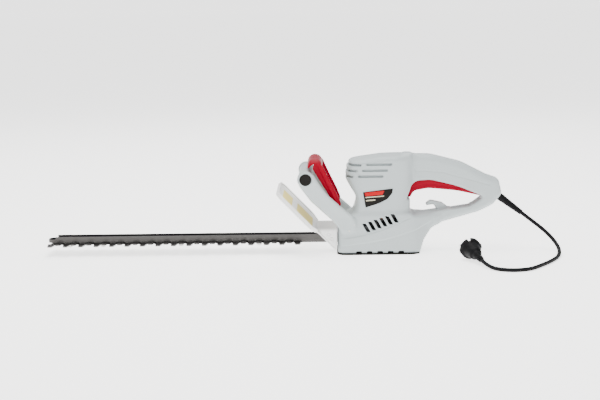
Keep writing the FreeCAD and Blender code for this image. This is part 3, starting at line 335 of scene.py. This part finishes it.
SLIT_HALF_WIDTH, SLIT_HALF_HEIGHT = 3.3, 7.4
NOTCHES, NOTCH_START, NOTCH_PITCH, NOTCH_HALF_WIDTH = 5, -29.5, 18.2, 4.75
SEAM = [(66, 176), (65.5, 152), (70, 141.5), (90, 141.5), (118, 139), (155, 128), (198, 116)]
CABLE_SLOT = [(132, 73.6, 0), (165, 78.4, 0), (167, 82.5, 0), (132, 77.4, 0)]
ARM_BOSS_RADIUS = 14.2
PIVOT_SLOT = [(-64, 87, 1), (-60.5, 87, 1), (-58.5, 97, 3), (-61, 106, 1), (-64, 106, 1), (-62.5, 97, 3)]


def arm_faces(z):
    """Y distance of an arm's inner and outer faces at the height z."""
    inner = np.interp(z, [40, 66, 88, 109, 131, 150], [40.0, 44.0, 45.2, 52.2, 59.0, 59.0])
    outer = np.interp(z, [40, 52, 66, 88, 109, 131, 150], [44.6, 47.0, 50.5, 58.5, 66.0, 73.0, 75.0])
    return inner, outer


def arm_field(x, y, z):
    """One splayed arm of the front handle, at y < 0."""
    side = inside_of(ARM, x, z)
    side = np.minimum(side, centre_distance(GRIP, x, z) - ARM_BOSS_RADIUS)[:, None, :]
    inner, outer = arm_faces(z)
    middle, half = ((inner + outer) / 2)[None, None, :], ((outer - inner) / 2)[None, None, :]
    flat = np.abs(-y[None, :, None] - middle) - half
    return both(side, flat, 4.5)


def body_field(x, y, z):
    """The outside of the housing at y < 0, before its vents and seams."""
    y3 = y[None, :, None]
    head = both(inside_of(HEAD, x, z)[:, None, :], inside_of(HEAD_PLAN, x, y)[:, :, None], 9.0)
    skirt_side = inside_of(SKIRT, x, z)
    skirt_plan = inside_of(SKIRT_PLAN, x, y)[:, :, None]
    upper = np.polyval(UPPER_BAND, x)[:, None]
    lower = np.polyval(LOWER_BAND, x)[:, None]
    height = z[None, :]
    swell = 1.3 * np.clip((upper - height) / 1.6, 0, 1) * np.clip((x[:, None] + 64) / 16, 0, 1)
    tuck = 1.8 * np.clip((lower - height) / 1.6, 0, 1) * np.clip((x[:, None] + 64) / 16, 0, 1)
    shape = (tuck - swell + 0.02 * np.maximum(lower - height, 0))[:, None, :]
    skirt = both(skirt_side[:, None, :], skirt_plan + 1.3 + shape, 5.0)
    loop = both(inside_of(LOOP, x, z)[:, None, :], np.abs(y3) - LOOP_HALF_WIDTH, 11.0)
    body = smin(smin(head, skirt, 7.0), loop, 12.0)
    body = smax(body, -inside_of(OPENING, x, z)[:, None, :], 5.0)
    hook = both(inside_of(HOOK, x, z)[:, None, :], np.abs(y3) - 4.2, 2.2)
    return smin(body, hook, 2.5)


def slot_box(x, z, x0, x1, z0, z1, lean=0.0, round_by=0.42):
    """Side-view field of a round-ended slot that leans sideways by lean for each mm of height."""
    middle = (z0 + z1) / 2
    across = np.abs(x[:, None] + lean * (z[None, :] - middle) - (x0 + x1) / 2) - (x1 - x0) / 2
    up = np.abs(z[None, :] - middle) - (z1 - z0) / 2
    return both(across, up, min(x1 - x0, z1 - z0) * round_by)


def split_line(x, z):
    """Positive on the housing's side of the line where an arm meets the housing, else negative."""
    return (0.75 * (x[:, None] + 50) + 0.66 * (58 - z[None, :]))[:, None, :]


def joined_field(body, x, y, z):
    """The housing and the arm as one flowing shape, which split_line parts."""
    return smin(body, arm_field(x, y, z), 7.0)


def hollow_field(body, x, y, z):
    """The inside of the housing, open at the bottom over the base plate."""
    floor = both((z - 20)[None, None, :], inside_of(SKIRT_PLAN, x, y)[:, :, None] + WALL + 3.0, 2.0)
    floor = np.maximum(floor, np.maximum(-65.0 - x, x - 74.0)[:, None, None])
    return np.minimum(body + WALL, floor)


def cut_vents(shell, body, x, z):
    """Rows of shallow slots round the head: one along the side and one round the nose in each."""
    for row in range(VENT_ROWS):
        low = VENT_TOP - VENT_PITCH * row
        side_slot = slot_box(x, z, -16 - 7 * row, 28 - 7.5 * row, low, low + 4.0)
        nose_slot = slot_box(x, z, -72, -24 - 7 * row, low - 1, low + 3.0)
        pockets = np.minimum(side_slot, nose_slot)[:, None, :]
        shell = smax(shell, -np.maximum(pockets, -(body + VENT_DEPTH)), 0.5)
    return shell


def cut_slits(shell, x, y3, z):
    """Slanted slits under the badge, and notches along the skirt's foot."""
    for k in range(SLITS):
        cx, cz = SLIT_START[0] + SLIT_STEP[0] * k, SLIT_START[1] + SLIT_STEP[1] * k
        slit = slot_box(x, z, cx - SLIT_HALF_WIDTH, cx + SLIT_HALF_WIDTH,
                        cz - SLIT_HALF_HEIGHT, cz + SLIT_HALF_HEIGHT, SLIT_LEAN, 0.16)
        shell = smax(shell, -np.maximum(slit[:, None, :], y3 + CUT_TO), 0.6)
    for k in range(NOTCHES):
        cx = NOTCH_START + NOTCH_PITCH * k
        notch = slot_box(x, z, cx - NOTCH_HALF_WIDTH, cx + NOTCH_HALF_WIDTH, -3.0, 6.2, round_by=0.12)
        shell = smax(shell, -np.maximum(notch[:, None, :], y3 + CUT_TO), 0.4)
    return shell


def blade_passage(x, y3, z):
    """Room for the cutter bar through the front wall, wider behind it for the blades' yokes."""
    x3, z3 = x[:, None, None], z[None, None, :]
    mouth = np.maximum(np.maximum(np.abs(y3) - 13.4, np.abs(z3 - 22.3) - 10.5), x3 + 60)
    half_width = np.interp(x, [-70, -66, -62, -56], [14.5, 16.2, 21.5, 24.0])[:, None, None]
    behind = np.maximum(np.maximum(np.abs(y3) - half_width, np.abs(z3 - 19.5) - 4.5), x3 + 40)
    return np.minimum(mouth, behind)


def housing_field(x, y, z):
    """The near half of the housing with its vents, seam and openings."""
    body = body_field(x, y, z)
    y3 = y[None, :, None]
    whole = np.minimum(body, np.maximum(joined_field(body, x, y, z), -split_line(x, z)))
    shell = np.maximum(whole, -hollow_field(body, x, y, z))
    shell = cut_slits(cut_vents(shell, body, x, z), x, y3, z)
    seam = line_distance(SEAM, x, z)[:, None, :]
    shell = np.maximum(shell, -np.maximum(seam - 0.9, -(whole + 0.6)))
    cable = inside_of(CABLE_SLOT, x, z)[:, None, :]
    shell = np.maximum(np.maximum(shell, -blade_passage(x, y3, z)), -np.maximum(cable, y3 + 3.0))
    red = inside_of(TRIGGER_SLOT, x, z)[:, None, :]
    shell = np.maximum(shell, -np.maximum(red, np.abs(y3) - TRIGGER_HALF_WIDTH - 0.6))
    return np.maximum(shell, y3 + 0.14)


def arm_piece_field(x, y, z):
    """The near arm in front of split_line, with the grip tube's socket and the lever's slot."""
    body = body_field(x, y, z)
    line = split_line(x, z)
    arm = joined_field(body, x, y, z) + 0.1 * np.clip(line, 0, 5)
    arm = np.maximum(np.maximum(arm, line - 5), -(body + 0.4))
    y3 = y[None, :, None]
    end = centre_distance(GRIP, x, z)[:, None, :]
    arm = smax(arm, -np.maximum(end - 10.4, y3 + 72.0), 0.8)
    arm = np.maximum(arm, -np.maximum(end - 12.7, -y3 - 69.2))
    slot = inside_of(PIVOT_SLOT, x, z)[:, None, :]
    return np.maximum(arm, -np.maximum(slot + 0.2, y3 + 30))


TRIGGER_SLOT = [(54.9, 95, 0), (68, 95, 0), (92, 108, 0), (186, 94.5, 0), (197, 96, 2), (197, 112, 2),
                (142, 122, 0), (96, 142, 0), (54.9, 142, 0)]
TRIGGER = [(55.6, 96.5, 2), (61, 95, 1.5), (67, 106, 12), (92, 110.5, 50), (142, 105.5, 150),
           (185.5, 95.6, 5), (193, 98.5, 3.5), (193, 106, 3.5), (183, 108, 6), (142, 118, 60),
           (96, 129.5, 40), (55.6, 128, 14)]


def trigger_field(x, y, z):
    """The red trigger, with a shallow scoop along each side."""
    edge = np.abs(y[None, :, None]) - TRIGGER_HALF_WIDTH
    block = both(inside_of(TRIGGER, x, z)[:, None, :], edge, 4.5)
    scoop = line_distance([(66, 112), (92, 118.5), (142, 112), (180, 103.5)], x, z)[:, None, :]
    return smax(block, -np.maximum(scoop - 2.2, -(edge + 0.5)), 0.8)


LEG = [(-74.5, 85, 5), (-64, 78, 6), (-59.5, 90, 6), (-66, 106, 30), (-82, 138, 40), (-91, 158, 5),
       (-106, 160, 5), (-108, 152, 5), (-97.5, 134, 30), (-80, 104, 30)]


def bar_field(x, y, z):
    """The red switch bar: two ribbed legs on pins, webs, and an arched hood that droops at its ends."""
    x3, z3 = x[:, None, None], z[None, None, :]
    across = np.abs(y[None, :, None])
    leg_y = np.interp(z, [78, 88, 104, 142, 170], [41.0, 41.0, 42.6, 48.4, 52.0])[None, None, :]
    leg = both(inside_of(LEG, x, z)[:, None, :], np.abs(across - leg_y) - 2.5, 1.2)
    ridge = line_distance([(-67, 90), (-76, 112), (-89.5, 142), (-98, 158)], x, z)[:, None, :]
    leg = smin(leg, np.maximum(ridge - 1.6, np.abs(across - leg_y) - 3.4), 2.0)
    droop = 6.0 * np.clip((across - 34.0) / 20.0, 0, 1) ** 2
    radius = np.hypot(x3 - HOOD[0], z3 + droop - HOOD[1])
    hood = np.maximum(np.abs(radius - 11.5) - 1.5, 153.3 - z3)
    hood = both(hood, across - 53.5, 2.5)
    web = both(np.maximum(radius - 10.8, 147.0 - z3), np.abs(across - 46.6) - 1.4, 1.0)
    web = np.maximum(web, -(x3 + 104))
    bar = smin(smin(leg, hood, 2.0), web, 1.0)
    pin_hole = centre_distance(LEVER_PIVOT, x, z)[:, None, :] - 2.6
    return np.maximum(bar, -pin_hole)


def guard_field(u, v, w):
    """The sloping guard in its own frame: u up the slope, v across, w through the sheet."""
    outline = [(-2, -41, 4), (40, -42, 14), (58, -72, 14), (142, -72, 18), (142, 72, 18), (58, 72, 14),
               (40, 42, 14), (-2, 41, 4)]
    plan = inside_of(outline, u, v)[:, :, None]
    sheet = both(plan, np.abs(w[None, None, :] - 1.5) - 1.5, 1.2)
    rim = np.maximum(np.abs(plan + 1.6) - 1.4, np.abs(w[None, None, :] - 1.0) - 3.6)
    rim = np.maximum(rim, (46 - u)[:, None, None])
    gap = np.maximum(np.abs(v)[None, :, None] - 13.5, (u - 34)[:, None, None])
    return np.maximum(smin(sheet, rim, 1.5), -gap)


CHEEK = [(-66.6, 9, 3), (-66.6, 47, 1), (-104, 47, 1), (-69.6, 9, 1)]


def cheek_field(x, y, z):
    """The guard's foot: side cheeks with a ring round each screw, roof, and flange on the housing."""
    y3 = y[None, :, None]
    side = inside_of(CHEEK, x, z)[:, None, :]
    block = both(side, np.abs(y3) - 42.5, 5.0)
    hollow = np.maximum(np.maximum(side + 2.6, np.abs(y3) - 39.5), (x + 71)[:, None, None])
    bar = np.maximum(np.abs(y3) - 13.6, np.abs(z[None, None, :] - 18) - 15.5)
    for cx, cz in ((-81.5, 37.5), (-76.5, 29.5)):
        screw = centre_distance((cx, cz), x, z)[:, None, :]
        block = np.maximum(block, -np.maximum(np.abs(screw - 2.6) - 0.8, 41.3 - np.abs(y3)))
    return np.maximum(np.maximum(block, -hollow), -bar)


def lathe_field(profile, r, s, edge=1.0):
    """Field of a turned shape whose radius is profile(s), between the profile's ends."""
    places, radii = zip(*profile)
    radius = np.interp(s, places, radii)
    ends = np.maximum(places[0] - s, s - places[-1])
    return both(r - radius[None, None, :], ends[None, None, :] + 0 * r, edge)


# ------------------------------------------------------------------ moulded pieces
def far_copy(piece, name):
    """The mirror image of a near piece, on the machine's far side."""
    mesh = piece.data.copy()
    mesh.transform(Matrix.Scale(-1, 4, (0, 1, 0)))
    mesh.flip_normals()
    return added(name, mesh)


near = moulded("housing_near", housing_field, (-72, -50, -3), (224, 3, 174), 0.85, "body")
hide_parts("left_housing")
far = far_copy(near, "housing_far")
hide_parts("right_housing")

arm_low, arm_high = (-138, -79, 36), (-28, -34, 154)
arm = moulded("handle_arm_near", arm_piece_field, arm_low, arm_high, 0.8, "body")
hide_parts("left_handle_arm")
far_arm = far_copy(arm, "handle_arm_far")
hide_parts("right_handle_arm")

trigger = moulded("trigger_lever", trigger_field, (50, -15, 90), (200, 15, 134), 0.7, "trigger_red", "trigger")
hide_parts("trigger")
red_bar = moulded("switch_bar_hood", bar_field, (-124, -60, 72), (-52, 60, 180), 0.8, "lever_red",
                  "switch_bar")
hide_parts("switch_bar")

guard_turn = Matrix.Translation(GUARD_FOOT) @ Matrix.Rotation(math.radians(GUARD_SLOPE - 180), 4, "Y")
guard = moulded("hand_guard_sheet", guard_field, (-6, -76, -5), (150, 76, 7), 0.9, "guard_white",
                turn=guard_turn)
moulded("hand_guard_foot", cheek_field, (-106, -46, 5), (-65, 46, 51), 0.8, "guard_white")
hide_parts("hand_guard")


# ------------------------------------------------------------------ cord, strain relief and plug
EXIT = Vector((215.5, 0, 94.0))                 # where the strain relief leaves the handle
ANGLE = math.radians(-37.3)
AXIS = Vector((math.cos(ANGLE), 0, math.sin(ANGLE)))
TIP = EXIT + AXIS * 50.0
ROUTE = [tuple(TIP), tuple(TIP + AXIS * 25.0), (300, -14, 29), (314, -40, 11), (309, -79, 3.3),
         (290, -121, 3.3), (264, -160, 3.3), (240, -190.5, 3.3), (205.5, -196.5, 3.3),
         (176.5, -176.6, 4.0), (168.6, -142.5, 10.0)]


def along(start, direction):
    """Places a shape drawn along +Z at start, along the direction."""
    turn = Vector((0, 0, 1)).rotation_difference(direction)
    return Matrix.Translation(start) @ turn.to_matrix().to_4x4()


def relief_field(x, y, z):
    """Ribbed strain relief along +Z."""
    r = np.hypot(x[:, None, None], y[None, :, None]) + 0 * z[None, None, :]
    profile = [(-6, 5.0), (1.0, 5.1), (1.05, 6.5), (9.0, 6.5), (9.05, 6.2), (50.0, 4.3)]
    taper = lathe_field(profile, r, z, 0.6)
    for k in range(10):
        ring = np.maximum(np.abs(z - 12.0 - 3.6 * k)[None, None, :] - 0.8, -(taper + 0.9))
        side = np.abs(y)[None, :, None] - 1.3
        taper = np.maximum(taper, -np.maximum(ring, -side))
    return taper


def plug_field(x, y, z):
    """Round two-pin plug: grooved collar, waist and notched disc."""
    x3, y3 = x[:, None, None], y[None, :, None]
    r = np.hypot(x3, y3) + 0 * z[None, None, :]
    profile = [(0, 4.8), (18, 6.4), (24, 7.6), (27, 10.4), (40, 12.6), (46, 14.2), (50, 17.9), (57, 17.9)]
    body = lathe_field(profile, r, z)
    for k in range(4):
        ring = np.maximum(np.abs(z - 4.0 - 4.0 * k)[None, None, :] - 0.9, -(body + 0.9))
        body = np.maximum(body, -ring)
    for s in (-1, 1):
        notch = np.maximum(np.abs(x3) - 2.6, np.abs(y3 - s * 17) - 4.0)
        notch = np.maximum(notch, (45 - z)[None, None, :])
        body = smax(body, -notch, 0.8)
        nub = np.maximum(np.abs(x3 - s * 17.4) - 1.6, np.abs(y3) - 3.4)
        nub = both(nub, np.abs(z - 53.0)[None, None, :] - 3.4, 1.0)
        body = smin(body, nub, 0.8)
        hole = np.hypot(x3 - s * 9.5, y3) - 2.5
        body = np.maximum(body, -np.maximum(hole, (56.0 - z)[None, None, :]))
    return body


relief = moulded("cord_relief_ribs", relief_field, (-8, -8, -8), (8, 8, 52), 0.4, "cord_black",
                 turn=along(EXIT, AXIS))
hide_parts("cord_relief")
plug = moulded("plug_moulding", plug_field, (-20, -20, -2), (20, 20, 59), 0.5, "cord_black",
               turn=along(Vector(ROUTE[-1]), Vector(ROUTE[-1]) - Vector(ROUTE[-2])))
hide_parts("plug_body")

curve = bpy.data.curves.new("power_cord_sheath", "CURVE")
curve.dimensions = "3D"
curve.bevel_depth = 3.25 * MM
curve.bevel_resolution = 6
curve.resolution_u = 24
curve.use_fill_caps = True
line = curve.splines.new("NURBS")
line.points.add(len(ROUTE) - 1)
for point, place in zip(line.points, ROUTE):
    point.co = (place[0] * MM, place[1] * MM, place[2] * MM, 1)
line.order_u = 3
line.use_endpoint_u = True
curve.materials.append(SLOT_LOOKS["cord_black"])
cord = added("power_cord_sheath", curve)
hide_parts("power_cord")


# ------------------------------------------------------------------ badge shapes
def flat_shape(name, outline, low, high, look):
    """A thin raised shape on the badge: a side-view outline between two Y planes."""
    points = rounded_corners(outline)
    n = len(points)
    ring = [(x, low, z) for x, z in points] + [(x, high, z) for x, z in points]
    mesh = bpy.data.meshes.new(name)
    faces = [tuple(range(n)), tuple(reversed(range(n, 2 * n)))]
    faces += [(k, k + n, (k + 1) % n + n, (k + 1) % n) for k in range(n)]
    mesh.from_pydata([Vector(p) * MM for p in ring], [], faces)
    mesh.materials.append(look)
    return added(name, mesh)


MARKS = [
    ("red_bar", [(-18.2, 102.2, 0.6), (11.5, 104.6, 0.6), (14.8, 111.6, 0.6), (-19.0, 108.4, 0.6)],
     BADGE_RED),
    ("cream_line", [(-17.6, 99.0, 0.4), (14.0, 101.4, 0.4), (14.4, 103.0, 0.4), (-17.8, 100.8, 0.4)],
     BADGE_CREAM),
    ("cream_dash", [(-16.8, 93.4, 0.5), (-1.0, 94.6, 0.5), (-0.8, 96.6, 0.5), (-17.0, 95.4, 0.5)],
     BADGE_CREAM),
]
BADGE_FACE, MARK_THICKNESS = 40.65, 0.2
for side, where in ((-1, "near"), (1, "far")):
    for label, outline, look in MARKS:
        flat_shape("badge_%s_%s" % (label, where), outline, side * BADGE_FACE,
                   side * (BADGE_FACE + MARK_THICKNESS), look)


# ------------------------------------------------------------------ stage, light and camera
def backdrop():
    """Wide round floor with a low rim far away, so that every view sees the same pale ground."""
    rings = [(1.0, 0.0), (4.0, 0.0), (16.0, 0.0), (50.0, 0.0), (58.0, 0.8), (61.0, 3.0)]
    count = 64
    points = [(0.0, 0.0, 0.0)]
    for radius, height in rings:
        points += [(radius * math.cos(2 * math.pi * k / count),
                    radius * math.sin(2 * math.pi * k / count), height) for k in range(count)]
    faces = [(0, 1 + k, 1 + (k + 1) % count) for k in range(count)]
    for n in range(len(rings) - 1):
        start = 1 + n * count
        faces += [(start + k, start + count + k, start + count + (k + 1) % count, start + (k + 1) % count)
                  for k in range(count)]
    mesh = bpy.data.meshes.new("backdrop")
    mesh.from_pydata(points, [], faces)
    for face in mesh.polygons:
        face.use_smooth = True
    look = bpy.data.materials.new("backdrop")
    look.use_nodes = True
    shader = look.node_tree.nodes["Principled BSDF"]
    shader.inputs["Base Color"].default_value = (0.86, 0.855, 0.845, 1)
    shader.inputs["Roughness"].default_value = 0.55
    shader.inputs["Emission Color"].default_value = (1.0, 0.995, 0.985, 1)
    shader.inputs["Emission Strength"].default_value = 2.15
    mesh.materials.append(look)
    piece = bpy.data.objects.new("backdrop", mesh)
    bpy.context.scene.collection.objects.link(piece)


def area_light(name, place, target, size, power, color=(1, 1, 1)):
    data = bpy.data.lights.new(name, "AREA")
    data.shape = "RECTANGLE"
    data.size, data.size_y = size
    data.energy = power
    data.color = color
    lamp = bpy.data.objects.new(name, data)
    lamp.location = place
    lamp.rotation_euler = (Vector(target) - Vector(place)).to_track_quat("-Z", "Y").to_euler()
    bpy.context.scene.collection.objects.link(lamp)


backdrop()
area_light("overhead", (-0.3, -0.1, 2.3), (0, 0, 0), (2.2, 1.6), 96, (1.0, 0.995, 0.985))
area_light("front_fill", (-1.2, -2.6, 1.6), (0, 0, 0.1), (2.4, 1.8), 27)
area_light("back_rim", (-0.1, 1.9, 1.7), (-0.1, 0, 0.1), (2.0, 1.2), 26)
area_light("right_fill", (2.2, -1.6, 1.2), (0.1, 0, 0.1), (1.6, 1.6), 12)
world = bpy.data.worlds.new("studio")
world.use_nodes = True
world.node_tree.nodes["Background"].inputs["Color"].default_value = (0.93, 0.94, 0.96, 1)
world.node_tree.nodes["Background"].inputs["Strength"].default_value = 0.55
bpy.context.scene.world = world

target = Vector((-0.131, 0, 0.0907))
elevation, azimuth, roll, distance = math.radians(9.0), math.radians(1.2), math.radians(-0.9), 2.2
offset = Vector((math.sin(azimuth) * math.cos(elevation), -math.cos(azimuth) * math.cos(elevation),
                 math.sin(elevation)))
view = bpy.data.cameras.new("camera")
view.lens = 75.4
view.sensor_width = 36.0
camera = bpy.data.objects.new("camera", view)
camera.location = target + offset * distance
look_at = (target - camera.location).to_track_quat("-Z", "Y").to_matrix().to_4x4()
camera.matrix_world = Matrix.Translation(camera.location) @ look_at @ Matrix.Rotation(roll, 4, "Z")
bpy.context.scene.collection.objects.link(camera)
bpy.context.scene.camera = camera
